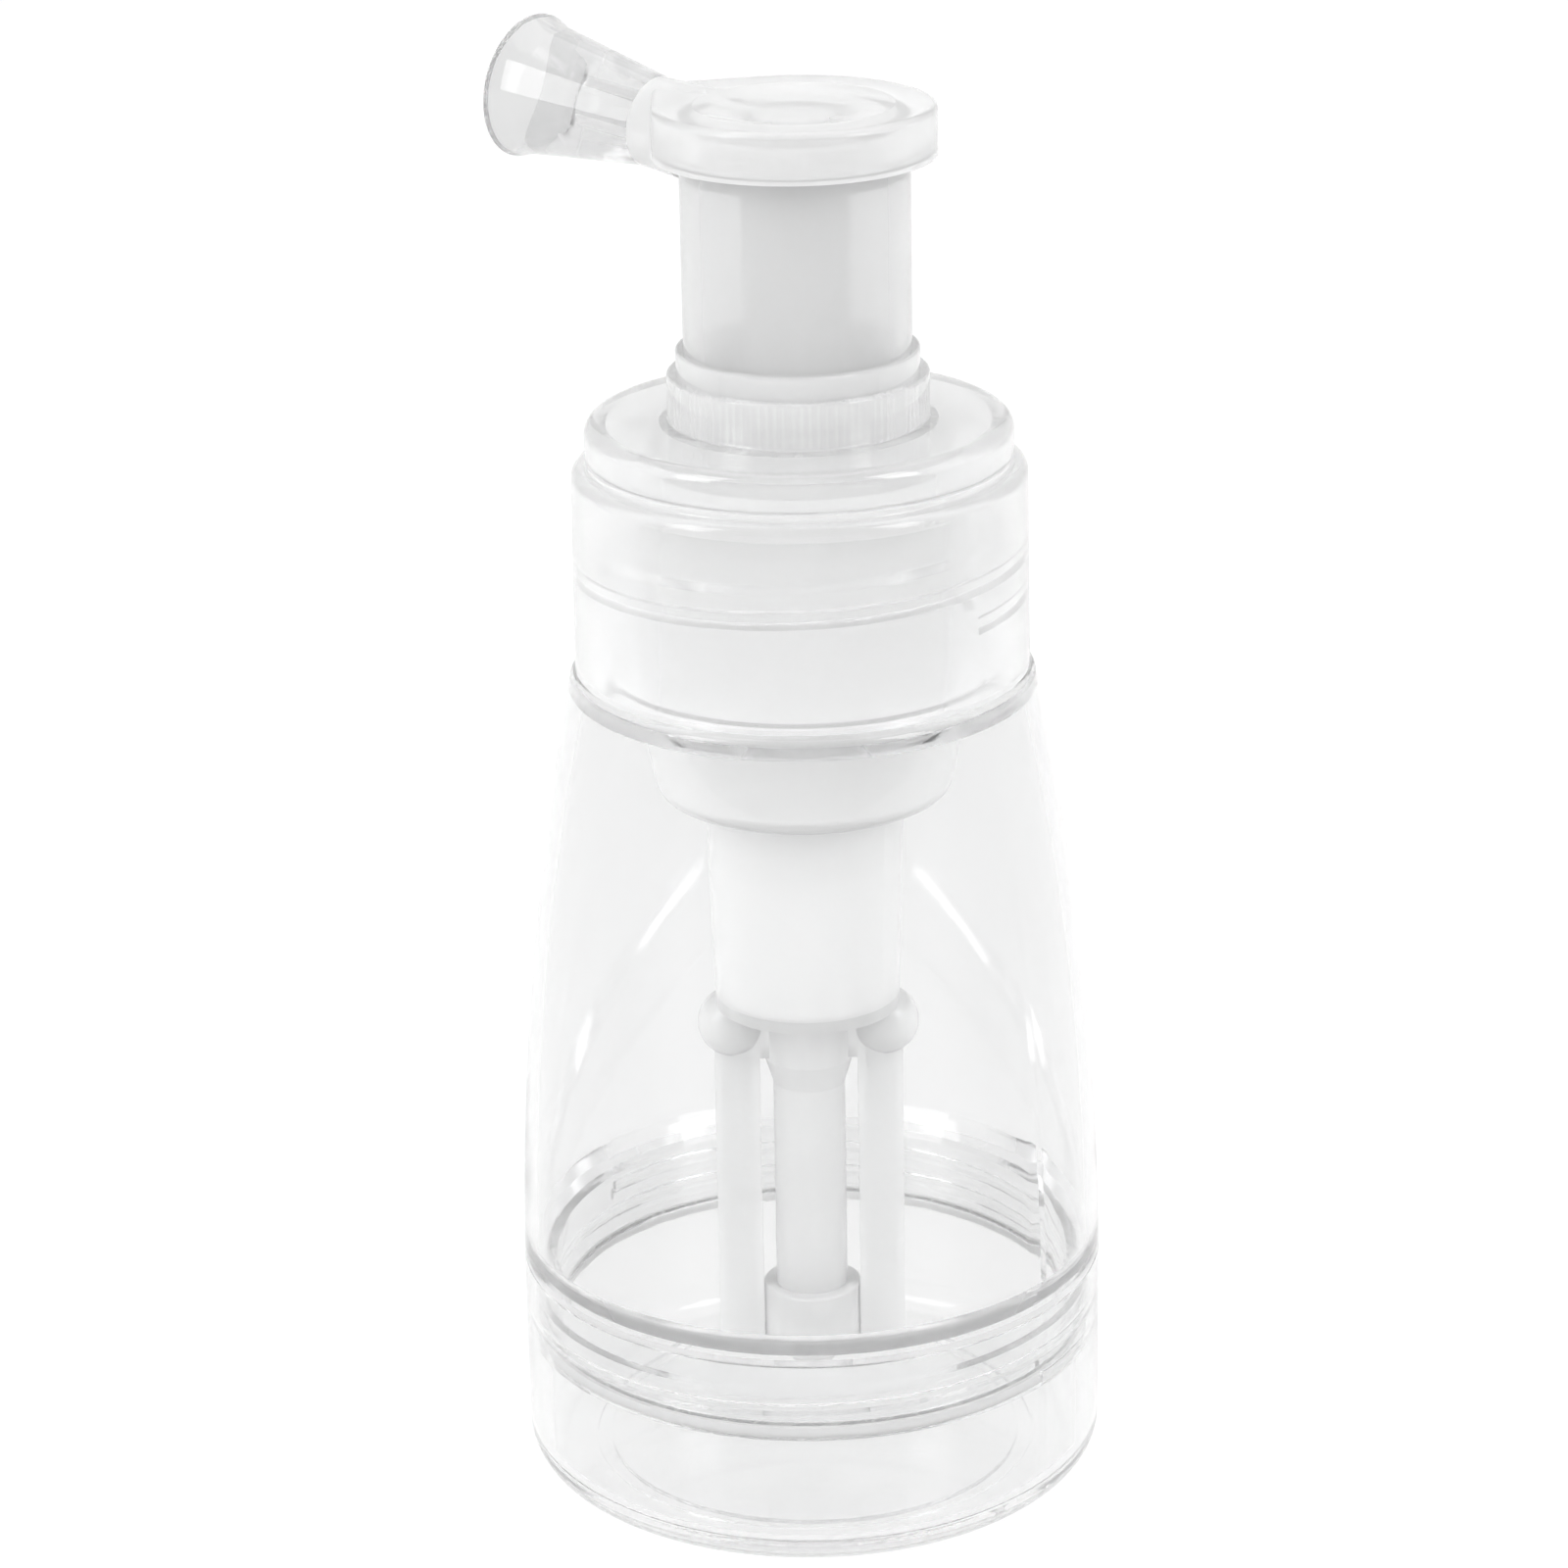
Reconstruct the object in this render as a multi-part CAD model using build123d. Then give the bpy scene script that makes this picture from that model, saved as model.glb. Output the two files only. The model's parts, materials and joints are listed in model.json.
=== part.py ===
from build123d import *
import math
import os

# A refillable powder pump bottle: a clear bottle standing in a screw-on base cup, and an air pump
# screwed to its neck. Millimetres, +Z up. The origin is the centre of the base cup's underside, and
# the nozzle points along -X.

# Base cup
BODY_R = 31.0              # outer radius of the cup, and of the bottle where they meet
CUP_H = 23.2               # height of the cup's rim
CUP_CORNER = 3.1           # outer rounding under the cup
CUP_WALL = 2.4
CUP_RIM_WALL = 1.1         # thinner wall round the threaded spigot
CUP_FLOOR = 1.8
CUP_FLOOR_ROUND = 2.0      # inner rounding between wall and floor
SPIGOT_DEPTH = 7.5         # how far the bottle's spigot goes into the cup
SEAM_GAP = 0.2             # open line between the cup's rim and the bottle's shoulder
GROOVE_R = 23.0            # shallow ring groove in the underside
GROOVE_W = 1.6
GROOVE_DEPTH = 0.5
SEAL_H = 1.2
SEAL_W = 1.5
SEAL_OUT = 0.4             # how far the seal stands out beyond the spigot

# Bottle
BOTTLE_H = 65.3            # from the seam up to the flat shoulder
BOTTLE_WALL = 1.5
SIDE_BULGE = 1.5           # how far the side bows outward at half height
SHOULDER_ROUND = 1.0       # outer rounding of the shoulder
SHOULDER_OUT = 0.45        # how far the bottle's shoulder stands out beyond the collar's skirt
NECK_WALL = 2.0
NECK_H = 19.3

# Threads
CUP_PITCH = 3.0
CUP_THREAD_DEPTH = 0.5
NECK_PITCH = 4.2
NECK_THREAD_DEPTH = 1.1
THREAD_TURNS = 1.5
THREAD_FOOT = 0.24         # half width of the ridge where it leaves the wall, in pitches
THREAD_CREST = 0.1         # half width of its crest, in pitches
THREAD_SUNK = 0.3          # how deep the ridge is rooted in the wall
THREAD_GAP = 0.45          # between a thread's crest and the wall that it faces
CUP_THREAD_UP = 1.3        # start of the spigot's thread above the spigot's end
THREAD_END = 2.7           # plain stretch of neck above the thread

# Collar
COLLAR_WALL = 2.1
SKIRT_GAP = 0.3            # between the skirt's edge and the bottle's shoulder
SKIRT_DRAFT = 0.2
DRUM_IN = 1.65             # how far the drum is set in from the skirt
DRUM_WALL = 2.2
DRUM_TOP = 1.6
DRUM_ROOM = 2.6            # hollow between the cylinder's flange and the drum's top
DRUM_EDGE = 1.4
STEP_DROP = 3.1            # the skirt's rounded top edge lies this far under the ledge
STEP_H = 2.5
CHIMNEY_WALL = 0.94
CHIMNEY_H = 4.7
STEP_ROUND = 1.2           # rounding at the top of the skirt
INNER_ROUND = 0.25         # small roundings in the corners

# Air cylinder and lower tube
BORE_R = 15.5              # working bore
CYL_WALL = 1.4
PUMP_GAP = 0.9             # between the cylinder and the bottle's neck
FLANGE_OUT = 0.6           # how far the flange reaches beyond the neck
FLANGE_T = 1.8
GASKET_T = 1.2
GASKET_IN = 0.15           # gasket's edges, in from the flange and the neck's bore
TAPER_H = 10.0             # tapered lower end of the cylinder
TAPER_IN = 1.7
TAPER_ROUND = 2.5
TAPER_FLOOR_ROUND = 1.2    # rounding inside the tapered end
BORE_SPARE = 0.5           # bore left under the piston when fully pressed
TUBE_R = 10.35
TUBE_DRAFT = 0.6
TUBE_L = 22.4
TUBE_WALL = 1.05
STROKE = 18.0
FIT = 0.06                 # radial clearance of running fits

# Riser, stem and sleeve
RISER_R = 4.15
RISER_WALL = 1.05
RISER_BELOW = 3.5          # riser's end, below the piston at rest
STEM_WALL = 1.29
STEM_OVERLAP = 4.0         # how far the stem covers the riser at rest
SLEEVE_R = 11.56
SLEEVE_WALL = 1.26
HEAD_CLEAR = 1.6           # left between head and gland when fully pressed
GLAND_WALL = 0.74
GLAND_STEP_H = 2.5         # gland's rim above the chimney
GLAND_STOP_R = 14.2        # gland's lower flange, which stops the piston's rim

# Piston
PISTON_H = 5.0
PISTON_BELOW = 2.5         # piston's rim, below the top of the cylinder at rest
WEB_UP = 2.0
WEB_T = 1.5
SPIGOT_UP = 3.0            # piston's spigot inside the sleeve
RIM_IN_R = 13.6
RIM_R = 14.4
HUB_R = 8.6
STOP_GAP = 0.2             # between the piston's rim and the gland
INLET_HOLES = 6
INLET_HOLE_R = 0.7
FLAP_T = 0.6
FLAP_COVER = 0.3
SEAL_LIP = 0.9             # height of the piston seal's thicker lips

# Return spring
SPRING_WIRE = 1.1
SPRING_R = 6.7             # mean radius of the coils
SPRING_COILS = 12
SPRING_CUP_WALL = 0.9
SPRING_CUP_FLANGE = 1.2    # width and thickness of the spring cup's flange, and of its floor
SPRING_CUP_UP = 0.4        # spring cup's floor above the plug
SLIP_GAP = 0.1             # clearance round pieces that are slipped in
CUP_PORTS = 6
CUP_PORT_R = 0.8

# Duct block
DUCT_AZIMUTH = 38.0        # direction of the two ducts about Z, from +X
DUCT_UP = 11.4             # clear height under the ducts' open ends
DUCT_T = 3.0
DUCT_WALL = 0.75
SLOT_W = 1.4               # open slot between a duct and the centre tube
DUCT_W = 4.75
KNOB_R = 3.75
KNOB_AT = 8.0              # axis of a ball chamber, from the centre
BRIDGE_T = 4.6
BRIDGE_H = 5.9             # solid bridge between the ball chambers, below the deck
BALL_R = 2.0
BALL_GAP = 0.25
BALL_LIFT = 1.25
SEAT_HOLE_R = 1.5
CORE_R = 3.85              # centre tube
CORE_WALL = 0.95
CORE_NECK_OUT = 0.9        # its thicker top end
CORE_NECK_H = 3.0
DECK_T = 1.3
SOCKET_H = 5.4
PLUG_H = 1.6
PLUG_WALL = 0.8

# Foot valve
FOOT_H = 6.5
FOOT_SOCKET_H = 3.0
FOOT_CHAMFER = 1.45
TIP_R = 2.4
TIP_H = 1.3
FOOT_UP = 8.9              # clear height under the tip
FOOT_GAP = 0.05            # between the foot and the ducts on its two sides
FOOT_SEAT_UP = 2.7         # ball seat, above the tip
FOOT_INLET_R = 1.5
FOOT_BALL_R = 2.3
FOOT_BALL_LIFT = 2.1
SEAT_GAP = 0.05            # ball to seat edge at rest
BAR_W = 0.9                # bar across the centre tube that stops the ball

# Head and nozzle
HEAD_RIM = 2.7             # how far the head stands out beyond the sleeve
HEAD_H = 5.1
HEAD_EDGE = 0.7
DISH_R = 10.1
DISH_DEPTH = 1.1
SPOUT_END_R = 3.4          # plan rounding at the end of the head's spout
SPOUT_REACH = 13.9         # centre of that rounding
BOSS_R = 4.6
BOSS_ROOT_R = 5.0
BOSS_START = 9.0           # span of the round boss, along the nozzle's axis
BOSS_END = 18.0
BOSS_GAP = 0.5             # boss to chimney when pressed
NOZZLE_TILT = 6.2          # degrees above level
NOZZLE_DROP = 0.8          # the nozzle's axis crosses Z this far below the head
REGISTER_H = 2.0           # rings under the head that hold the stem and the sleeve
REGISTER_WALL = 1.1
STEM_INTO_HEAD = 0.4
POCKET_H = 2.6
CHANNEL_R = 1.2
CHANNEL_UP = 1.75
CHANNEL_DROP = 0.4
CHANNEL_ROOM = 1.15        # hollow over the stem, beyond the channel's axis
MOUTH_R = 7.46
FLARE_R = 6.6
FLARE_L = 3.1
FLARE_BOW = 0.12
NOZZLE_L = 16.6
BELL_DEPTH = 8.4
BELL_END_R = 3.4
NOZZLE_WALL = 0.85
THROAT_R = 1.6
NOZZLE_PLUG_R = 2.8
NOZZLE_PLUG_L = 4.4

# Radii worked out from the values above
SPIGOT_R = BODY_R - CUP_RIM_WALL - THREAD_GAP - CUP_THREAD_DEPTH
CYL_R = BORE_R + CYL_WALL
NECK_BORE_R = CYL_R + PUMP_GAP
NECK_R = NECK_BORE_R + NECK_WALL
SKIRT_BORE_R = NECK_R + NECK_THREAD_DEPTH + THREAD_GAP
SKIRT_R = SKIRT_BORE_R + COLLAR_WALL
DRUM_R = SKIRT_R - DRUM_IN
FLANGE_R = NECK_R + FLANGE_OUT
SHOULDER_R = SKIRT_R + SHOULDER_OUT
SLEEVE_BORE_R = SLEEVE_R - SLEEVE_WALL
GLAND_BORE_R = SLEEVE_R + FIT
GLAND_R = GLAND_BORE_R + GLAND_WALL
CHIMNEY_R = GLAND_R + CHIMNEY_WALL
STEM_BORE_R = RISER_R + FIT
STEM_R = STEM_BORE_R + STEM_WALL
TUBE_END_BORE_R = TUBE_R - TUBE_DRAFT - TUBE_WALL
SPRING_CUP_R = TUBE_END_BORE_R - SLIP_GAP
SOCKET_R = RISER_R + RISER_WALL
CORE_BORE_R = CORE_R - CORE_WALL
DUCT_IN = CORE_R + SLOT_W
DUCT_OUT = DUCT_IN + DUCT_W
FOOT_R = DUCT_IN - FOOT_GAP
HEAD_R = SLEEVE_R + HEAD_RIM

# Heights worked out from the values above
SPIGOT_Z = CUP_H - SPIGOT_DEPTH
SEAM_Z = CUP_H + SEAM_GAP
SHOULDER_Z = SEAM_Z + BOTTLE_H
NECK_TOP_Z = SHOULDER_Z + NECK_H
FLANGE_Z = NECK_TOP_Z + GASKET_T
FLANGE_TOP_Z = FLANGE_Z + FLANGE_T
DRUM_TOP_Z = FLANGE_TOP_Z + DRUM_ROOM + DRUM_TOP
CHIMNEY_TOP_Z = DRUM_TOP_Z + CHIMNEY_H
GLAND_TOP_Z = CHIMNEY_TOP_Z + GLAND_STEP_H
HEAD_Z = GLAND_TOP_Z + STROKE + HEAD_CLEAR
HEAD_TOP_Z = HEAD_Z + HEAD_H
PISTON_TOP_Z = FLANGE_TOP_Z - PISTON_BELOW
PISTON_Z = PISTON_TOP_Z - PISTON_H
WEB_Z = PISTON_Z + WEB_UP
WEB_TOP_Z = WEB_Z + WEB_T
TAPER_Z = PISTON_Z - STROKE - BORE_SPARE
CYL_END_Z = TAPER_Z - TAPER_H
CYL_FLOOR_Z = CYL_END_Z + CYL_WALL
DECK_TOP_Z = CYL_END_Z - TUBE_L
DECK_Z = DECK_TOP_Z - DECK_T
KNOB_Z = DECK_TOP_Z - KNOB_R
SPRING_CUP_Z = DECK_TOP_Z + PLUG_H + SPRING_CUP_UP
SPRING_Z = SPRING_CUP_Z + SPRING_CUP_FLANGE
RISER_TOP_Z = PISTON_Z - RISER_BELOW
FOOT_BODY_Z = FOOT_UP + TIP_H + FOOT_CHAMFER
FOOT_TOP_Z = FOOT_BODY_Z + FOOT_H
CORE_END_Z = FOOT_TOP_Z - FOOT_SOCKET_H
FOOT_SEAT_Z = FOOT_UP + FOOT_SEAT_UP
NOZZLE_AXIS_Z = HEAD_Z - NOZZLE_DROP
CUP_THREAD_Z = SPIGOT_Z + CUP_THREAD_UP
NECK_THREAD_Z = NECK_TOP_Z - THREAD_END - NECK_PITCH * THREAD_TURNS
BALL_FLOOR_Z = KNOB_Z - BALL_R - 0.45
BALL_SEAT_Z = KNOB_Z + BALL_R + 0.15
CORE_CONE_Z = DECK_Z - BRIDGE_H - 0.4
BALL_SEAT_RISE = math.sqrt(FOOT_BALL_R**2 - FOOT_INLET_R**2) + SEAT_GAP
INLET_AT = (SLEEVE_R + RIM_IN_R) / 2


def turned(*corners):
    """Revolve a closed outline about Z. A corner is (radius, height) or (radius, height, rounding)."""
    outline = make_face(Polyline(*[corner[:2] for corner in corners], close=True))
    for corner in corners:
        if len(corner) == 3:
            sharp = outline.vertices().sort_by_distance((corner[0], corner[1], 0))[0]
            outline = fillet(sharp, corner[2])
    return revolve(Plane.XZ * outline, axis=Axis.Z)


def tube(outer, inner, low, high):
    """Plain ring from height low to height high."""
    return turned((inner, low), (outer, low), (outer, high), (inner, high))


def rod(radius, low, high, x=0.0, y=0.0):
    """Upright cylinder at (x, y)."""
    return Pos(x, y, low) * Cylinder(radius, high - low, align=(Align.CENTER, Align.CENTER, Align.MIN))


def block(low, high):
    """Box between two opposite corners."""
    size = [b - a for a, b in zip(low, high)]
    return Pos(*low) * Box(*size, align=(Align.MIN, Align.MIN, Align.MIN))


def ring_of(shape, count):
    """Copies of a shape spaced evenly about Z."""
    return [Rot(0, 0, 360 * i / count) * shape for i in range(count)]


def thread(root_r, depth, pitch, start_z):
    """Helical ridge that rises from a wall of radius root_r; a negative depth points inward.

    Its straight flanks run on into the wall, so that no edge of the ridge lies on the wall's face.
    """
    sunk = math.copysign(THREAD_SUNK, depth)
    foot = THREAD_FOOT * pitch
    crest = THREAD_CREST * pitch
    root = foot + (foot - crest) * sunk / depth
    path = Helix(pitch=pitch, height=pitch * THREAD_TURNS, radius=root_r)
    start = Plane(origin=path @ 0, x_dir=(1, 0, 0), z_dir=path % 0)
    ridge = [(-sunk, -root), (depth, -crest), (depth, crest), (-sunk, root)]
    section = make_face(Polyline(*[start.from_local_coords((x, y, 0)) for x, y in ridge], close=True))
    return Pos(0, 0, start_z) * sweep(section, path=path, is_frenet=True)


def nozzle_frame():
    """Frame of the nozzle: origin on the Z axis, local Z along the nozzle towards its mouth."""
    return Pos(0, 0, NOZZLE_AXIS_Z) * Rot(0, NOZZLE_TILT - 90, 0)


def base_cup():
    """Screw-on cup that the bottle stands in, with the thread inside its rim."""
    inner_r = BODY_R - CUP_WALL
    rim_r = BODY_R - CUP_RIM_WALL
    cup = turned(
        (0, 0), (BODY_R, 0, CUP_CORNER), (BODY_R, CUP_H), (rim_r, CUP_H),
        (rim_r, SPIGOT_Z - SEAL_H), (inner_r, SPIGOT_Z - SEAL_H), (inner_r, CUP_FLOOR, CUP_FLOOR_ROUND),
        (0, CUP_FLOOR),
    )
    cup -= tube(GROOVE_R + GROOVE_W / 2, GROOVE_R - GROOVE_W / 2, -1, GROOVE_DEPTH)
    return cup + thread(rim_r, -CUP_THREAD_DEPTH, CUP_PITCH, CUP_THREAD_Z - CUP_PITCH / 2)


def base_seal():
    """Flat ring that the end of the bottle's spigot presses on."""
    seal_r = SPIGOT_R + SEAL_OUT
    return tube(seal_r, seal_r - SEAL_W, SPIGOT_Z - SEAL_H, SPIGOT_Z)


def bottle():
    """Clear bottle, open at both ends: threaded spigot below, bowed side, threaded neck above."""
    mid_r = (BODY_R + SHOULDER_R) / 2 + SIDE_BULGE
    mid_z = (SEAM_Z + SHOULDER_Z) / 2
    spigot_in = SPIGOT_R - BOTTLE_WALL
    wall_r = BODY_R - BOTTLE_WALL
    inner_shoulder_r = SHOULDER_R - BOTTLE_WALL
    inner_shoulder_z = SHOULDER_Z - 1.8 * BOTTLE_WALL
    wall_end_z = SEAM_Z + 2 * BOTTLE_WALL
    outer = [
        Line((SPIGOT_R, SPIGOT_Z), (SPIGOT_R, SEAM_Z)),
        Line((SPIGOT_R, SEAM_Z), (BODY_R, SEAM_Z)),
        ThreePointArc((BODY_R, SEAM_Z), (mid_r, mid_z), (SHOULDER_R, SHOULDER_Z)),
        Line((SHOULDER_R, SHOULDER_Z), (NECK_R, SHOULDER_Z)),
        Line((NECK_R, SHOULDER_Z), (NECK_R, NECK_TOP_Z)),
        Line((NECK_R, NECK_TOP_Z), (NECK_BORE_R, NECK_TOP_Z)),
    ]
    inner = [
        Line((NECK_BORE_R, NECK_TOP_Z), (NECK_BORE_R, SHOULDER_Z)),
        Line((NECK_BORE_R, SHOULDER_Z), (inner_shoulder_r, inner_shoulder_z)),
        ThreePointArc(
            (inner_shoulder_r, inner_shoulder_z), (mid_r - BOTTLE_WALL, mid_z), (wall_r, wall_end_z)
        ),
        Line((wall_r, wall_end_z), (spigot_in, SEAM_Z)),
        Line((spigot_in, SEAM_Z), (spigot_in, SPIGOT_Z)),
        Line((spigot_in, SPIGOT_Z), (SPIGOT_R, SPIGOT_Z)),
    ]
    outline = make_face(outer + inner)
    edge = outline.vertices().sort_by_distance((SHOULDER_R, SHOULDER_Z, 0))[0]
    outline = fillet(edge, SHOULDER_ROUND)
    shell = revolve(Plane.XZ * outline, axis=Axis.Z)
    shell += thread(SPIGOT_R, CUP_THREAD_DEPTH, CUP_PITCH, CUP_THREAD_Z)
    return shell + thread(NECK_R, NECK_THREAD_DEPTH, NECK_PITCH, NECK_THREAD_Z)


def neck_gasket():
    """Flat ring between the neck and the cylinder's flange."""
    return tube(FLANGE_R - GASKET_IN, NECK_BORE_R + GASKET_IN, NECK_TOP_Z, FLANGE_Z)


def collar():
    """Screw cap in two steps, with a short chimney on top that holds the gland."""
    step_z = FLANGE_TOP_Z - STEP_DROP
    cap = turned(
        (SKIRT_BORE_R, SHOULDER_Z + SKIRT_GAP), (SKIRT_R, SHOULDER_Z + SKIRT_GAP),
        (SKIRT_R - SKIRT_DRAFT, step_z + STEP_H, STEP_ROUND), (DRUM_R, step_z + STEP_H, INNER_ROUND),
        (DRUM_R, DRUM_TOP_Z, DRUM_EDGE), (CHIMNEY_R, DRUM_TOP_Z, INNER_ROUND),
        (CHIMNEY_R, CHIMNEY_TOP_Z, INNER_ROUND),
        (GLAND_R, CHIMNEY_TOP_Z), (GLAND_R, DRUM_TOP_Z - DRUM_TOP),
        (DRUM_R - DRUM_WALL, DRUM_TOP_Z - DRUM_TOP), (DRUM_R - DRUM_WALL, FLANGE_TOP_Z),
        (SKIRT_BORE_R, FLANGE_TOP_Z),
    )
    return cap + thread(SKIRT_BORE_R, -NECK_THREAD_DEPTH, NECK_PITCH, NECK_THREAD_Z - NECK_PITCH / 2)


def gland():
    """Bush that guides the sleeve. Its lower flange bears on the drum and stops the piston."""
    low = PISTON_TOP_Z + STOP_GAP
    return turned(
        (GLAND_BORE_R, low), (GLAND_STOP_R, low), (GLAND_STOP_R, DRUM_TOP_Z - DRUM_TOP),
        (GLAND_R, DRUM_TOP_Z - DRUM_TOP), (GLAND_R, GLAND_TOP_Z, INNER_ROUND), (GLAND_BORE_R, GLAND_TOP_Z),
    )


def air_cylinder():
    """Stepped housing: flange, working bore, tapered end and the narrower tube below it."""
    tube_end = TUBE_R - TUBE_DRAFT
    taper_end = CYL_R - TAPER_IN
    return turned(
        (BORE_R, FLANGE_TOP_Z), (BORE_R, TAPER_Z), (taper_end - CYL_WALL, CYL_FLOOR_Z, TAPER_FLOOR_ROUND),
        (TUBE_R - TUBE_WALL, CYL_FLOOR_Z), (tube_end - TUBE_WALL, DECK_TOP_Z), (tube_end, DECK_TOP_Z),
        (TUBE_R, CYL_END_Z), (taper_end, CYL_END_Z, TAPER_ROUND), (CYL_R, TAPER_Z),
        (CYL_R, FLANGE_Z), (FLANGE_R, FLANGE_Z), (FLANGE_R, FLANGE_TOP_Z),
    )


def spring_cup():
    """Flanged cup inside the tube that carries the spring, with air ports in its floor."""
    bore = SPRING_CUP_R - SPRING_CUP_WALL
    flange_r = TUBE_R + SPRING_CUP_FLANGE
    flange_z = CYL_FLOOR_Z + SPRING_CUP_FLANGE
    hub_r = SOCKET_R + SLIP_GAP
    cup = turned(
        (hub_r, SPRING_CUP_Z), (SPRING_CUP_R, SPRING_CUP_Z), (SPRING_CUP_R, CYL_FLOOR_Z),
        (flange_r, CYL_FLOOR_Z), (flange_r, flange_z), (bore, flange_z), (bore, SPRING_Z), (hub_r, SPRING_Z),
    )
    port_at = (SOCKET_R + bore) / 2
    return cup - ring_of(rod(CUP_PORT_R, SPRING_CUP_Z - 1, SPRING_Z + 1, x=port_at), CUP_PORTS)


def riser_tube():
    """Fixed centre tube that the stem slides over, from the deck's socket up."""
    return tube(RISER_R, RISER_R - RISER_WALL, DECK_TOP_Z, RISER_TOP_Z)


def duct():
    """Flat side duct along +X with its ball chamber, hollow from the deck to its open end."""
    middle = (DUCT_IN + DUCT_OUT) / 2
    half_w = DUCT_W / 2 - DUCT_WALL
    half_t = DUCT_T / 2 - DUCT_WALL
    solid = block((DUCT_IN, -DUCT_T / 2, DUCT_UP), (DUCT_OUT, DUCT_T / 2, KNOB_Z))
    solid += Pos(KNOB_AT, 0, KNOB_Z) * Sphere(KNOB_R)
    hollow = block((middle - half_w, -half_t, DUCT_UP - 1), (middle + half_w, half_t, BALL_FLOOR_Z))
    hollow += rod(BALL_R + BALL_GAP, BALL_FLOOR_Z, BALL_SEAT_Z, x=KNOB_AT)
    hollow += rod(SEAT_HOLE_R, BALL_SEAT_Z - 0.1, DECK_TOP_Z + 1, x=KNOB_AT)
    return solid, hollow


def duct_block():
    """Deck with two side ducts, and the centre tube that carries the powder up between them."""
    core = turned(
        (CORE_BORE_R, CORE_END_Z), (CORE_R, CORE_END_Z), (CORE_R, CORE_CONE_Z - CORE_NECK_H),
        (CORE_R + CORE_NECK_OUT, CORE_CONE_Z), (CORE_R + CORE_NECK_OUT, DECK_Z), (SOCKET_R, DECK_Z),
        (SOCKET_R, DECK_TOP_Z + SOCKET_H), (RISER_R, DECK_TOP_Z + SOCKET_H), (RISER_R, DECK_TOP_Z),
        (CORE_BORE_R, DECK_TOP_Z),
    )
    plug_r = TUBE_END_BORE_R - SLIP_GAP / 2
    deck = tube(TUBE_R - TUBE_DRAFT, CORE_R, DECK_Z, DECK_TOP_Z)
    deck += tube(plug_r, plug_r - PLUG_WALL, DECK_TOP_Z, DECK_TOP_Z + PLUG_H)
    bridge = block((-KNOB_AT, -BRIDGE_T / 2, DECK_Z - BRIDGE_H), (KNOB_AT, BRIDGE_T / 2, DECK_Z + 0.2))
    bridge -= rod(CORE_R, DECK_Z - BRIDGE_H - 1, DECK_Z + 1)
    duct_solid, duct_hollow = duct()
    body = core + deck + bridge + [duct_solid, Rot(0, 0, 180) * duct_solid]
    body -= [duct_hollow, Rot(0, 0, 180) * duct_hollow]
    bar_z = FOOT_SEAT_Z + BALL_SEAT_RISE + FOOT_BALL_LIFT + FOOT_BALL_R + 0.15
    bar = block((-CORE_R + 0.2, -BAR_W / 2, bar_z), (CORE_R - 0.2, BAR_W / 2, bar_z + BAR_W))
    return Rot(0, 0, DUCT_AZIMUTH) * (body + bar)


def check_ball(side):
    """Light ball in a duct's chamber, resting over the slot below it; side is 1 or -1."""
    rest = math.sqrt(BALL_R**2 - (DUCT_T / 2 - DUCT_WALL) ** 2) + SEAT_GAP
    return Rot(0, 0, DUCT_AZIMUTH) * Pos(side * KNOB_AT, 0, BALL_FLOOR_Z + rest) * Sphere(BALL_R)


def foot_valve():
    """Thick foot of the centre tube, with the inlet in its tip and the seat of the lower ball."""
    seat_r = FOOT_BALL_R + 0.5
    return turned(
        (FOOT_INLET_R, FOOT_UP), (TIP_R, FOOT_UP), (TIP_R, FOOT_UP + TIP_H),
        (FOOT_R - FOOT_CHAMFER, FOOT_UP + TIP_H), (FOOT_R, FOOT_BODY_Z), (FOOT_R, FOOT_TOP_Z, INNER_ROUND),
        (CORE_R, FOOT_TOP_Z), (CORE_R, CORE_END_Z), (seat_r, CORE_END_Z), (seat_r, FOOT_SEAT_Z),
        (FOOT_INLET_R, FOOT_SEAT_Z),
    )


def foot_ball():
    """Ball that lets powder and air up into the centre tube."""
    return Pos(0, 0, FOOT_SEAT_Z + BALL_SEAT_RISE) * Sphere(FOOT_BALL_R)


def piston():
    """Hub on the stem, web with air inlets, spigot inside the sleeve, and the rim for the seal."""
    bore = STEM_R + FIT
    spigot_r = SLEEVE_BORE_R - FIT
    body = turned(
        (bore, PISTON_Z), (HUB_R, PISTON_Z), (HUB_R, WEB_Z), (RIM_IN_R, WEB_Z), (RIM_IN_R, PISTON_Z),
        (RIM_R, PISTON_Z), (RIM_R, PISTON_TOP_Z), (RIM_IN_R, PISTON_TOP_Z), (RIM_IN_R, WEB_TOP_Z),
        (spigot_r, WEB_TOP_Z), (spigot_r, WEB_TOP_Z + SPIGOT_UP, INNER_ROUND), (bore, WEB_TOP_Z + SPIGOT_UP),
    )
    return body - ring_of(rod(INLET_HOLE_R, WEB_Z - 1, WEB_TOP_Z + 1, x=INLET_AT), INLET_HOLES)


def piston_seal():
    """Ring with an upper and a lower lip that runs in the bore."""
    lip_r = BORE_R - FIT
    waist_r = lip_r - 0.4
    return turned(
        (RIM_R, PISTON_Z), (lip_r, PISTON_Z), (lip_r, PISTON_Z + SEAL_LIP),
        (waist_r, PISTON_Z + 2 * SEAL_LIP), (waist_r, PISTON_TOP_Z - 2 * SEAL_LIP),
        (lip_r, PISTON_TOP_Z - SEAL_LIP), (lip_r, PISTON_TOP_Z), (RIM_R, PISTON_TOP_Z),
    )


def inlet_flap():
    """Thin washer under the web that covers the air inlets on the way down."""
    reach = INLET_HOLE_R + FLAP_COVER
    return tube(INLET_AT + reach, INLET_AT - reach, WEB_Z - FLAP_T, WEB_Z)


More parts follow.
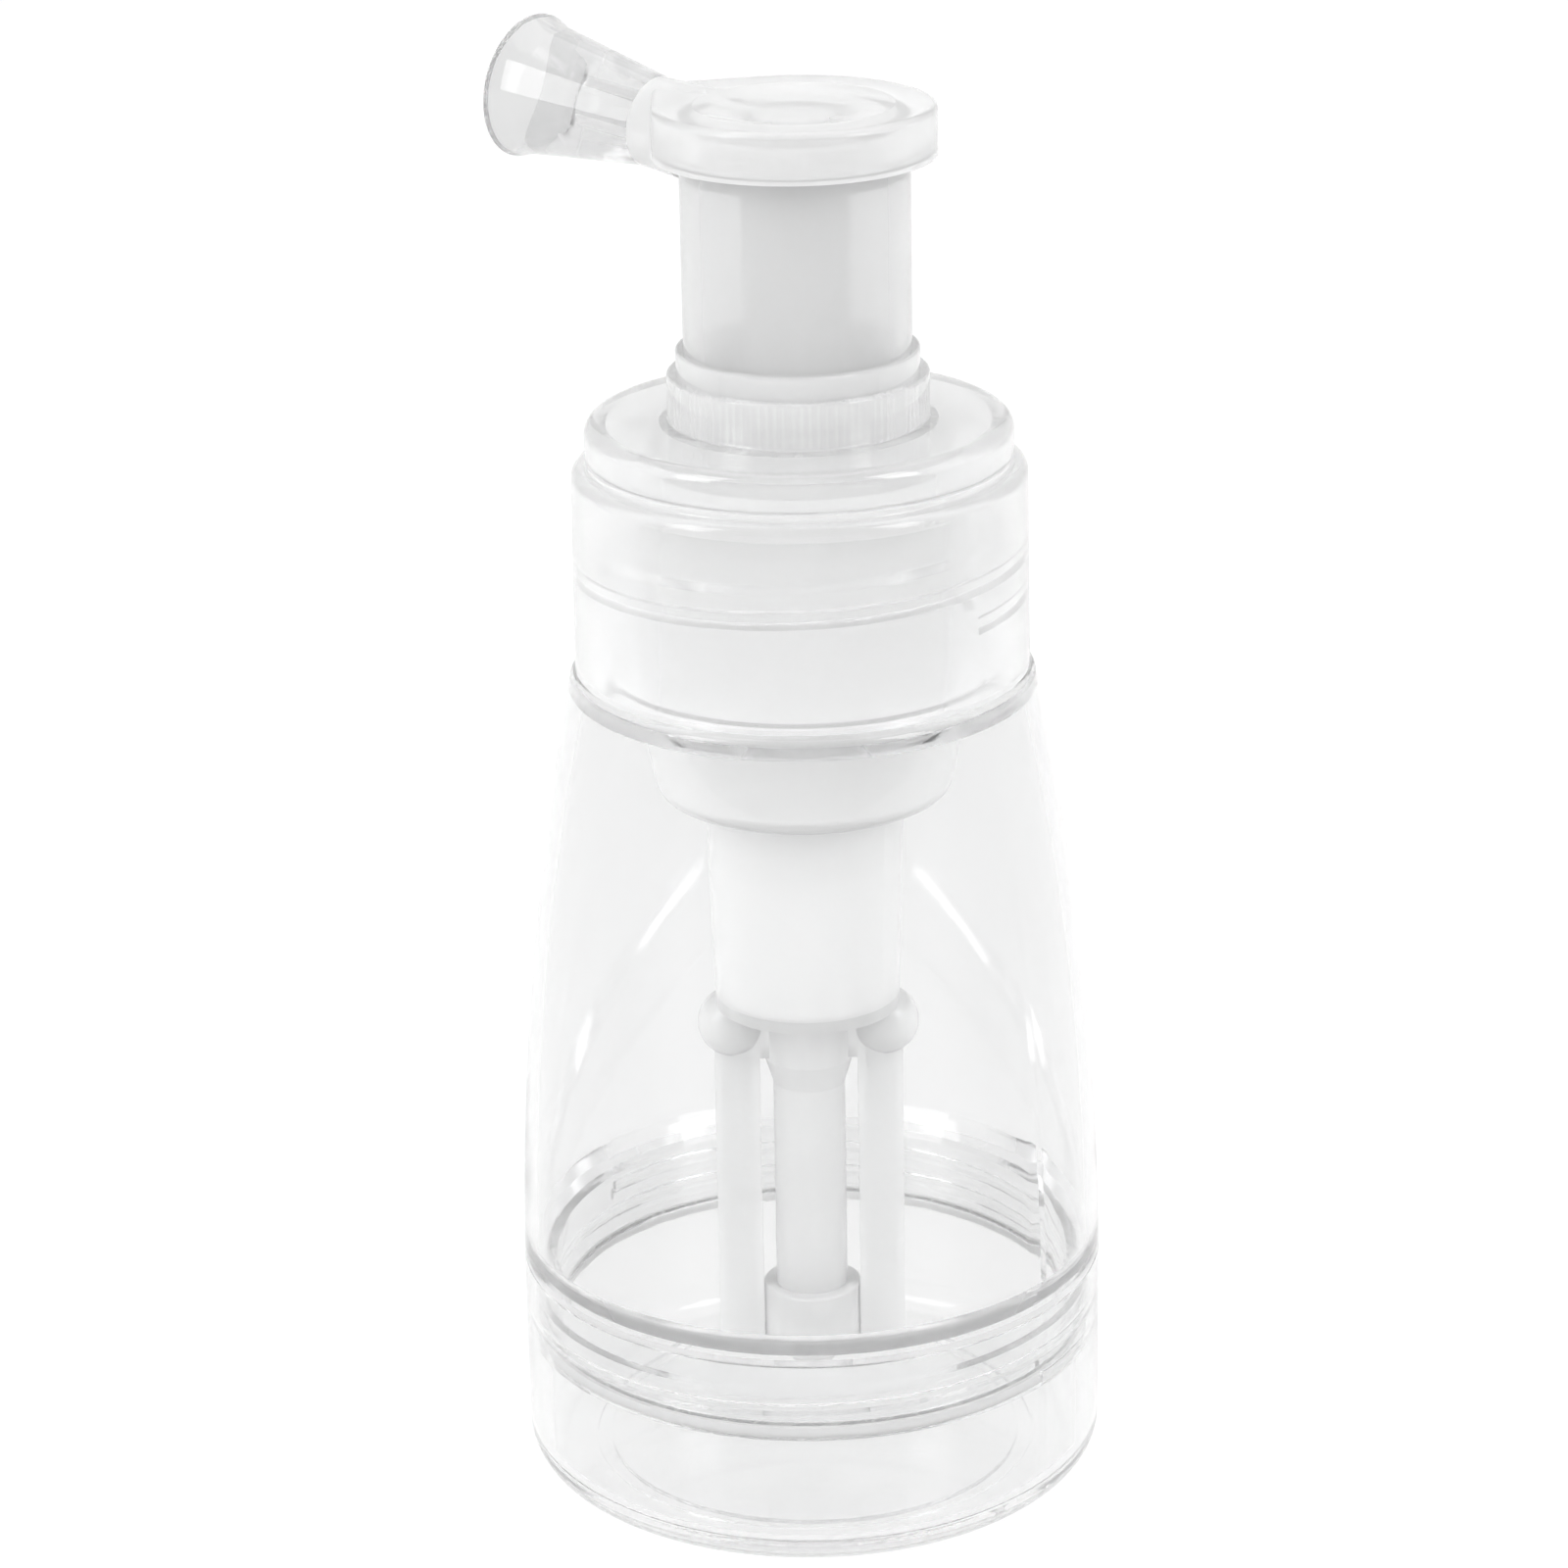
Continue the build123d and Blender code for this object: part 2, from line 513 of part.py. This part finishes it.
def return_spring():
    """Compression spring between the spring cup and the piston's hub."""
    low = SPRING_Z + SPRING_WIRE / 2
    length = PISTON_Z - SPRING_Z - SPRING_WIRE
    path = Helix(pitch=length / SPRING_COILS, height=length, radius=SPRING_R)
    section = Plane(origin=path @ 0, z_dir=path % 0) * Circle(SPRING_WIRE / 2)
    return Pos(0, 0, low) * sweep(section, path=path, is_frenet=True)


def stem_tube():
    """Moving centre tube, from over the riser up into the head."""
    return tube(STEM_R, STEM_BORE_R, RISER_TOP_Z - STEM_OVERLAP, HEAD_Z + STEM_INTO_HEAD)


def stem_sleeve():
    """Wide outer sleeve between the piston and the head."""
    return tube(SLEEVE_R, SLEEVE_BORE_R, WEB_TOP_Z + FIT, HEAD_Z)


def head_outside():
    """Round button that draws out into a spout on the -X side."""
    plan = make_hull((Circle(HEAD_R) + Pos(-SPOUT_REACH, 0) * Circle(SPOUT_END_R)).edges())
    button = Pos(0, 0, HEAD_Z) * extrude(plan, HEAD_H)
    button = fillet(button.edges().group_by(Axis.Z)[-1], HEAD_EDGE)
    boss = nozzle_frame() * Cone(
        BOSS_ROOT_R, BOSS_R, BOSS_END - BOSS_START, align=(Align.CENTER, Align.CENTER, Align.MIN)
    ).moved(Pos(0, 0, BOSS_START))
    boss -= rod(CHIMNEY_R + BOSS_GAP, HEAD_Z - 2 * BOSS_R, HEAD_Z)
    return button + boss


def pump_head():
    """Head with a dished top, rings below for stem and sleeve, and the channel to the nozzle."""
    head = head_outside()
    ball_r = (DISH_R**2 + DISH_DEPTH**2) / (2 * DISH_DEPTH)
    head -= Pos(0, 0, HEAD_TOP_Z - DISH_DEPTH + ball_r) * Sphere(ball_r)
    low = HEAD_Z - REGISTER_H
    head += tube(SLEEVE_BORE_R, SLEEVE_BORE_R - REGISTER_WALL, low, HEAD_Z + 0.1)
    head += tube(STEM_R + REGISTER_WALL, STEM_R, low, HEAD_Z + 0.1)
    pocket = tube(
        SLEEVE_BORE_R - REGISTER_WALL, STEM_R + REGISTER_WALL, HEAD_Z - 0.1, HEAD_Z + POCKET_H
    )
    head -= pocket - block((-HEAD_R, -2 * CHANNEL_R, low), (0, 2 * CHANNEL_R, HEAD_TOP_Z))
    head -= rod(STEM_R, low - 1, HEAD_Z + STEM_INTO_HEAD)
    channel_z = HEAD_Z + CHANNEL_UP
    head -= rod(STEM_BORE_R, low, channel_z + CHANNEL_ROOM)
    plug_end = BOSS_END - NOZZLE_PLUG_L
    channel = Pos(0, 0, channel_z) * Rot(0, -90 - math.degrees(math.atan(CHANNEL_DROP / plug_end)), 0)
    head -= channel * rod(CHANNEL_R, 0, plug_end + 0.5)
    return head - nozzle_frame() * rod(NOZZLE_PLUG_R, plug_end, BOSS_END + 1)


def nozzle():
    """Clear trumpet: plug in the boss, solid throat, rounded bell and a flared lip."""
    end = BOSS_END + NOZZLE_L
    flare = end - FLARE_L
    plug = BOSS_END - NOZZLE_PLUG_L
    bell = end - BELL_DEPTH
    lip_r = MOUTH_R - NOZZLE_WALL
    flare_in = FLARE_R - NOZZLE_WALL
    flare_mid = (FLARE_R + MOUTH_R) / 2 - FLARE_BOW
    outline = make_face([
        Line((THROAT_R, plug), (NOZZLE_PLUG_R, plug)),
        Line((NOZZLE_PLUG_R, plug), (NOZZLE_PLUG_R, BOSS_END)),
        Line((NOZZLE_PLUG_R, BOSS_END), (BOSS_R, BOSS_END)),
        Line((BOSS_R, BOSS_END), (FLARE_R, flare)),
        ThreePointArc((FLARE_R, flare), (flare_mid, flare + FLARE_L / 2), (MOUTH_R, end)),
        Line((MOUTH_R, end), (lip_r, end)),
        ThreePointArc((lip_r, end), (flare_mid - NOZZLE_WALL, flare + FLARE_L / 2), (flare_in, flare)),
        Line((flare_in, flare), (BELL_END_R, bell + BELL_END_R / 2)),
        ThreePointArc((BELL_END_R, bell + BELL_END_R / 2), (BELL_END_R * 0.8, bell + 0.6), (THROAT_R, bell)),
        Line((THROAT_R, bell), (THROAT_R, plug)),
    ])
    return nozzle_frame() * revolve(Plane.XZ * outline, axis=Axis.Z)


PARTS = {
    "base_cup": base_cup,
    "base_seal": base_seal,
    "bottle": bottle,
    "neck_gasket": neck_gasket,
    "collar": collar,
    "gland": gland,
    "air_cylinder": air_cylinder,
    "spring_cup": spring_cup,
    "riser_tube": riser_tube,
    "duct_block": duct_block,
    "right_check_ball": lambda: check_ball(1),
    "left_check_ball": lambda: check_ball(-1),
    "foot_valve": foot_valve,
    "foot_ball": foot_ball,
    "piston": piston,
    "piston_seal": piston_seal,
    "inlet_flap": inlet_flap,
    "return_spring": return_spring,
    "stem_tube": stem_tube,
    "stem_sleeve": stem_sleeve,
    "pump_head": pump_head,
    "nozzle": nozzle,
}

os.makedirs("parts", exist_ok=True)
for name, make in PARTS.items():
    export_step(make(), f"parts/{name}.step")
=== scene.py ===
import json
import math

import bmesh
import bpy
from mathutils import Matrix, Vector


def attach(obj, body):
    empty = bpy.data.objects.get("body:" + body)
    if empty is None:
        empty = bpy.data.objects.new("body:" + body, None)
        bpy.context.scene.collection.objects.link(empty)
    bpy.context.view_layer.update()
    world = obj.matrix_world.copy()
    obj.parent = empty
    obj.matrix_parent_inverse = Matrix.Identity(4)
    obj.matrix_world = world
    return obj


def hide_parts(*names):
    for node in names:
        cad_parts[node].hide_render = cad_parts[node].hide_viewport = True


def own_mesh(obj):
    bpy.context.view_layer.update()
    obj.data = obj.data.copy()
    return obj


# A clear powder pump bottle with a milky pump, on a white studio floor. Metres and degrees.

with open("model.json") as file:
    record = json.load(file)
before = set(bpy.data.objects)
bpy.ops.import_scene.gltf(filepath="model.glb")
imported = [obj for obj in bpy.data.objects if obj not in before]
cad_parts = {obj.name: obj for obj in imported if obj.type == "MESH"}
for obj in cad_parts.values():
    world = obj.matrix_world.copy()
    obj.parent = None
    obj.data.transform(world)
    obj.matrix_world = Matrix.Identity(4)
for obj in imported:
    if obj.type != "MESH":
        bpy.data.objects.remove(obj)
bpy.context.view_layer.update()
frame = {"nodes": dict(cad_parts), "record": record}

# Camera of the main view
VIEW_AZIMUTH = 38.0
CAMERA_DISTANCE = 0.4538
CAMERA_HEIGHT = 0.2437
CAMERA_PITCH = 20.36
CAMERA_YAW = -0.27
CAMERA_ROLL = 1.0
CAMERA_LENS = 106.56
SENSOR_WIDTH = 36.0

# Studio
AIM = Vector((0.0, 0.0, 0.085))     # point that the lamps face
FLOOR_HALF = 6.0
FLOOR_GREY = 0.25
FLOOR_ROUGHNESS = 0.7
FLOOR_SHEEN = 0.1           # specular level
FLOOR_GLOW = 0.75           # the floor gives light too, so that the plastic is light from below
FLOOR_DROP = 0.00015        # the floor lies a hair under the cup, which keeps the cup's own face
BACKGROUND = 0.97
FRONT_SHADE = 0.55          # how bright the surroundings are behind the camera
FADE_RISE = 0.25            # lifts the darker middle of the surroundings
FADE_START = -0.1           # the surroundings darken as a direction's share towards the camera's
FADE_END = 0.9              # side grows from the first of these values to the second
GLASS_BOUNCES = 48
SOFT_BOUNCES = 32

# Plastics
COOL = 0.001                # step from red to green, and from green to blue, of every tint
LAMP_SHADE = 0.95           # of a lamp's light that each face of the clear plastic passes
MILKY_IOR = 1.49
CLEAR_IOR = 1.46
WEAR = 0.03                 # how much rougher the worn patches of the clear plastic are
RIPPLE_HIGH = 0.000006
GRAIN_HIGH = 0.0000012
STREAK_HIGH = 0.000008
NOISE_LOW = 0.3             # middle of a noise's range, over which tints and roughnesses run
NOISE_HIGH = 0.7

# Return spring between the spring cup and the piston
SPRING_LOW = 0.0558
SPRING_TOP = 0.1035
SPRING_R = 0.0067
SPRING_WIRE_R = 0.00055
SPRING_COILS = 9.0          # open coils
SPRING_CLOSED = 1.25        # closed coils at each end
STEPS_PER_COIL = 48
WIRE_SIDES = 14

# Mark left by the moulding gate in the head's dish
GATE_AT = Vector((0.0058, 0.0, 0.14632))
GATE_R = 0.0011
GATE_HIGH = 0.00012
GATE_SEGMENTS = 40
GATE_RINGS = 16


def camera():
    """Camera at the main viewing angle."""
    data = bpy.data.cameras.new("camera")
    data.lens = CAMERA_LENS
    data.sensor_width = SENSOR_WIDTH
    obj = bpy.data.objects.new("camera", data)
    bpy.context.scene.collection.objects.link(obj)
    around = Matrix.Rotation(math.radians(VIEW_AZIMUTH), 4, "Z")
    place = Matrix.Translation((0, -CAMERA_DISTANCE, CAMERA_HEIGHT))
    yaw = Matrix.Rotation(-math.radians(CAMERA_YAW), 4, "Z")
    pitch = Matrix.Rotation(math.radians(90 - CAMERA_PITCH), 4, "X")
    roll = Matrix.Rotation(-math.radians(CAMERA_ROLL), 4, "Z")
    obj.matrix_world = around @ place @ yaw @ pitch @ roll
    bpy.context.scene.camera = obj


def softbox(name, azimuth, elevation, distance, width, height, power):
    """Rectangular lamp aimed at the bottle; azimuth counts from the camera, positive to its right."""
    data = bpy.data.lights.new(name, "AREA")
    data.shape = "RECTANGLE"
    data.size = width
    data.size_y = height
    data.energy = power
    obj = bpy.data.objects.new(name, data)
    bpy.context.scene.collection.objects.link(obj)
    turn = math.radians(VIEW_AZIMUTH + azimuth)
    rise = math.radians(elevation)
    back = Vector((math.sin(turn) * math.cos(rise), -math.cos(turn) * math.cos(rise), math.sin(rise)))
    obj.location = AIM + distance * back
    obj.rotation_euler = back.to_track_quat("Z", "Y").to_euler()


def surroundings():
    """White all round, falling to grey on the camera's side of the main view."""
    world = bpy.data.worlds.new("studio")
    bpy.context.scene.world = world
    world.use_nodes = True
    nodes = world.node_tree.nodes
    links = world.node_tree.links
    coords = nodes.new("ShaderNodeTexCoord")
    facing = nodes.new("ShaderNodeVectorMath")
    facing.operation = "DOT_PRODUCT"
    turn = math.radians(VIEW_AZIMUTH)
    facing.inputs[1].default_value = (math.sin(turn), -math.cos(turn), FADE_RISE)
    links.new(coords.outputs["Generated"], facing.inputs[0])
    fade = nodes.new("ShaderNodeMapRange")
    fade.interpolation_type = "SMOOTHSTEP"
    fade.inputs["From Min"].default_value = FADE_START
    fade.inputs["From Max"].default_value = FADE_END
    fade.inputs["To Min"].default_value = BACKGROUND
    fade.inputs["To Max"].default_value = FRONT_SHADE
    links.new(facing.outputs["Value"], fade.inputs["Value"])
    nodes["Background"].inputs["Color"].default_value = (1, 1, 1, 1)
    links.new(fade.outputs["Result"], nodes["Background"].inputs["Strength"])


def floor():
    """Wide, plain floor, white once its own glow and the lamps add up."""
    signs = [(-1, -1), (1, -1), (1, 1), (-1, 1)]
    corners = [(x * FLOOR_HALF, y * FLOOR_HALF, -FLOOR_DROP) for x, y in signs]
    mesh = bpy.data.meshes.new("floor")
    mesh.from_pydata(corners, [], [(0, 1, 2, 3)])
    obj = bpy.data.objects.new("floor", mesh)
    bpy.context.scene.collection.objects.link(obj)
    material, shader = principled("floor_paint")
    shader.inputs["Base Color"].default_value = (FLOOR_GREY, FLOOR_GREY, FLOOR_GREY, 1)
    shader.inputs["Roughness"].default_value = FLOOR_ROUGHNESS
    shader.inputs["Emission Color"].default_value = (1, 1, 1, 1)
    shader.inputs["Emission Strength"].default_value = FLOOR_GLOW
    shader.inputs["Specular IOR Level"].default_value = FLOOR_SHEEN
    mesh.materials.append(material)


def principled(name):
    """New material and its main shader."""
    material = bpy.data.materials.new(name)
    material.use_nodes = True
    return material, material.node_tree.nodes["Principled BSDF"]


def noise(material, scale, detail=2.0, stretch=(1, 1, 1)):
    """Noise in the object's own metres; stretch below 1 draws it out along that axis."""
    nodes = material.node_tree.nodes
    links = material.node_tree.links
    coords = nodes.new("ShaderNodeTexCoord")
    mapping = nodes.new("ShaderNodeMapping")
    mapping.inputs["Scale"].default_value = stretch
    links.new(coords.outputs["Object"], mapping.inputs["Vector"])
    texture = nodes.new("ShaderNodeTexNoise")
    texture.inputs["Scale"].default_value = scale
    texture.inputs["Detail"].default_value = detail
    links.new(mapping.outputs["Vector"], texture.inputs["Vector"])
    return texture.outputs["Fac"]


def between(material, factor, low, high):
    """Value that runs from low to high over the middle of a noise's range."""
    span = material.node_tree.nodes.new("ShaderNodeMapRange")
    span.inputs["From Min"].default_value = NOISE_LOW
    span.inputs["From Max"].default_value = NOISE_HIGH
    span.inputs["To Min"].default_value = low
    span.inputs["To Max"].default_value = high
    material.node_tree.links.new(factor, span.inputs["Value"])
    return span.outputs["Result"]


def tint(material, factor, low, high):
    """Neutral grey, a hair cool, that runs from low to high over the middle of a noise's range."""
    ramp = material.node_tree.nodes.new("ShaderNodeValToRGB")
    ramp.color_ramp.elements[0].position = NOISE_LOW
    ramp.color_ramp.elements[0].color = (low, low + COOL, low + 2 * COOL, 1)
    ramp.color_ramp.elements[1].position = NOISE_HIGH
    ramp.color_ramp.elements[1].color = (high, high + COOL, high + 2 * COOL, 1)
    material.node_tree.links.new(factor, ramp.inputs["Fac"])
    return ramp.outputs["Color"]


def relief(material, shader, *layers):
    """Chain of bumps; a layer is (noise output, depth in metres)."""
    nodes = material.node_tree.nodes
    links = material.node_tree.links
    normal = None
    for height, depth in layers:
        bump = nodes.new("ShaderNodeBump")
        bump.inputs["Strength"].default_value = 1.0
        bump.inputs["Distance"].default_value = depth
        links.new(height, bump.inputs["Height"])
        if normal is not None:
            links.new(normal, bump.inputs["Normal"])
        normal = bump.outputs["Normal"]
    links.new(normal, shader.inputs["Normal"])


def lamps_through(material, shader, shade):
    """Lets the lamps' direct light through to what stands inside; shade is the share that passes."""
    nodes = material.node_tree.nodes
    links = material.node_tree.links
    path = nodes.new("ShaderNodeLightPath")
    passing = nodes.new("ShaderNodeBsdfTransparent")
    passing.inputs["Color"].default_value = (shade, shade, shade, 1)
    mix = nodes.new("ShaderNodeMixShader")
    links.new(path.outputs["Is Shadow Ray"], mix.inputs["Fac"])
    links.new(shader.outputs["BSDF"], mix.inputs[1])
    links.new(passing.outputs["BSDF"], mix.inputs[2])
    links.new(mix.outputs["Shader"], nodes["Material Output"].inputs["Surface"])


def milky_plastic(name, low, high, clearness, roughness, lamp_shade=0.0):
    """Milky, translucent moulding with faint flow clouds and a fine grain; low and high bound its tint."""
    material, shader = principled(name)
    links = material.node_tree.links
    clouds = noise(material, 90, 3, (1, 1, 0.35))
    grain = noise(material, 2600, 2)
    ripple = noise(material, 160, 1, (1, 1, 0.5))
    links.new(tint(material, clouds, low, high), shader.inputs["Base Color"])
    links.new(between(material, ripple, roughness - 0.04, roughness + 0.05), shader.inputs["Roughness"])
    shader.inputs["Transmission Weight"].default_value = clearness
    shader.inputs["IOR"].default_value = MILKY_IOR
    relief(material, shader, (ripple, RIPPLE_HIGH), (grain, GRAIN_HIGH))
    if lamp_shade:
        lamps_through(material, shader, lamp_shade)
    return material


def clear_plastic(name, low, high, clearness, roughness, waves):
    """Clear plastic with a little wear in the polish; waves is the height of the swell in its wall."""
    material, shader = principled(name)
    links = material.node_tree.links
    clouds = noise(material, 60, 2, (1, 1, 0.4))
    swell = noise(material, 45, 1, (1, 1, 0.3))
    wear = noise(material, 700, 4)
    links.new(tint(material, clouds, low, high), shader.inputs["Base Color"])
    links.new(between(material, wear, roughness, roughness + WEAR), shader.inputs["Roughness"])
    shader.inputs["Transmission Weight"].default_value = clearness
    shader.inputs["IOR"].default_value = CLEAR_IOR
    relief(material, shader, (swell, waves))
    lamps_through(material, shader, LAMP_SHADE)
    return material


def spring_steel():
    """Drawn wire: bright, with fine streaks and patches of dulled zinc."""
    material, shader = principled("drawn_steel")
    links = material.node_tree.links
    patches = noise(material, 500, 4)
    streaks = noise(material, 3000, 2, (1, 1, 0.15))
    links.new(tint(material, patches, 0.5, 0.68), shader.inputs["Base Color"])
    links.new(between(material, streaks, 0.22, 0.42), shader.inputs["Roughness"])
    shader.inputs["Metallic"].default_value = 1.0
    relief(material, shader, (streaks, STREAK_HIGH))
    return material


def clear_finishes():
    """The clear plastics: bottle, cup and nozzle."""
    return {
        "clear_pet": clear_plastic("clear_pet", 0.88, 0.9, clearness=0.965, roughness=0.015, waves=0.00006),
        "base_cup": clear_plastic("clear_cup", 0.865, 0.885, clearness=0.91, roughness=0.03, waves=0.00002),
        # the nozzle's grey, far darker than the bottle's, is painted shade that takes down the light of the
        # lamps and the white surroundings on it
        "clear_styrene": clear_plastic(
            "clear_styrene", 0.69, 0.73, clearness=0.86, roughness=0.06, waves=0.00003
        ),
    }


def milky_finishes():
    """The milky plastics; those with a lamp shade let the lamps through to what they cover."""
    thin_pp = milky_plastic("thin_natural_pp", 0.975, 0.99, clearness=0.74, roughness=0.12, lamp_shade=0.7)
    return {
        "collar": thin_pp,
        "gland": thin_pp,
        # the sleeve's milky PP is tinted darker than the collar's: painted shade that takes down the lamps'
        # light it catches
        "stem_sleeve": milky_plastic(
            "shaded_sleeve_pp", 0.9, 0.925, clearness=0.72, roughness=0.13, lamp_shade=0.45
        ),
        "air_cylinder": milky_plastic(
            "natural_cylinder", 0.985, 0.995, clearness=0.4, roughness=0.18, lamp_shade=0.5
        ),
        "natural_pp": milky_plastic("natural_pp", 0.985, 0.995, clearness=0.52, roughness=0.18),
        "clear_silicone": milky_plastic("clear_silicone", 0.88, 0.92, clearness=0.5, roughness=0.42),
        "ball_plastic": milky_plastic("ball_plastic", 0.86, 0.9, clearness=0.0, roughness=0.2),
    }


def finishes():
    """Material for each of the record's slots, and for the nodes whose moulding differs from their slot."""
    return {**clear_finishes(), **milky_finishes(), "spring_steel": spring_steel()}


def piece(name, mesh, body, material):
    """New object that rides on a CAD body and takes the finish of a record slot."""
    obj = bpy.data.objects.new(name, mesh)
    bpy.context.scene.collection.objects.link(obj)
    mesh.materials.clear()
    mesh.materials.append(material)
    for face in mesh.polygons:
        face.use_smooth = True
    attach(obj, body)
    return obj


def spring_line():
    """Points along the wire's centre: closed coils at both ends, open coils between."""
    low = SPRING_LOW + SPRING_WIRE_R
    top = SPRING_TOP - SPRING_WIRE_R
    closed_rise = SPRING_CLOSED * 2 * SPRING_WIRE_R
    turns = SPRING_COILS + 2 * SPRING_CLOSED
    steps = int(STEPS_PER_COIL * turns)
    points = []
    for i in range(steps + 1):
        turn = turns * i / steps
        if turn < SPRING_CLOSED:
            z = low + closed_rise * turn / SPRING_CLOSED
        elif turn > turns - SPRING_CLOSED:
            z = top - closed_rise * (turns - turn) / SPRING_CLOSED
        else:
            z = low + closed_rise + (top - low - 2 * closed_rise) * (turn - SPRING_CLOSED) / SPRING_COILS
        angle = 2 * math.pi * turn
        points.append(Vector((SPRING_R * math.cos(angle), SPRING_R * math.sin(angle), z)))
    return points


def wire(points, radius, sides):
    """Round wire along a line of points, closed at both ends."""
    verts = []
    faces = []
    for i, point in enumerate(points):
        along = (points[min(i + 1, len(points) - 1)] - points[max(i - 1, 0)]).normalized()
        out = Vector((point.x, point.y, 0)).normalized()
        up = along.cross(out).normalized()
        out = up.cross(along)
        for k in range(sides):
            angle = 2 * math.pi * k / sides
            verts.append(point + radius * (math.cos(angle) * out + math.sin(angle) * up))
    for i in range(len(points) - 1):
        for k in range(sides):
            a = i * sides + k
            b = i * sides + (k + 1) % sides
            faces.append((a, b, b + sides, a + sides))
    faces.append(tuple(reversed(range(sides))))
    faces.append(tuple(range(len(verts) - sides, len(verts))))
    mesh = bpy.data.meshes.new("wire")
    mesh.from_pydata(verts, [], faces)
    return mesh


def coil(material):
    """Return spring with closed ends, carried along by the pump body."""
    mesh = wire(spring_line(), SPRING_WIRE_R, WIRE_SIDES)
    obj = piece("return_coil", mesh, "pump", material)
    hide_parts("return_spring")
    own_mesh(obj)


def gate_mark(material):
    """Low round mark of the moulding gate, half sunk in the dish."""
    shape = bmesh.new()
    bmesh.ops.create_uvsphere(shape, u_segments=GATE_SEGMENTS, v_segments=GATE_RINGS, radius=1.0)
    bmesh.ops.scale(shape, vec=(GATE_R, GATE_R, GATE_HIGH), verts=shape.verts)
    bmesh.ops.translate(shape, vec=GATE_AT, verts=shape.verts)
    mesh = bpy.data.meshes.new("gate_mark")
    shape.to_mesh(mesh)
    shape.free()
    piece("gate_mark", mesh, "head", material)


camera()
surroundings()
softbox("left_softbox", azimuth=-58, elevation=28, distance=0.8, width=0.28, height=0.65, power=2.7)
softbox("right_softbox", azimuth=56, elevation=30, distance=0.8, width=0.25, height=0.6, power=2.3)
softbox("top_softbox", azimuth=180, elevation=75, distance=1.0, width=0.9, height=0.9, power=1.8)
floor()
paint = finishes()
for part in frame["record"]["subparts"]:
    node = frame["nodes"][part["node"]]
    node.data.materials.clear()
    node.data.materials.append(paint.get(part["node"], paint[part["material_slot"]]))
coil(paint["spring_steel"])
gate_mark(paint["natural_pp"])

scene = bpy.context.scene
scene.view_settings.view_transform = "Standard"
scene.cycles.max_bounces = GLASS_BOUNCES
scene.cycles.transmission_bounces = GLASS_BOUNCES
scene.cycles.transparent_max_bounces = GLASS_BOUNCES
scene.cycles.diffuse_bounces = SOFT_BOUNCES
scene.cycles.glossy_bounces = SOFT_BOUNCES
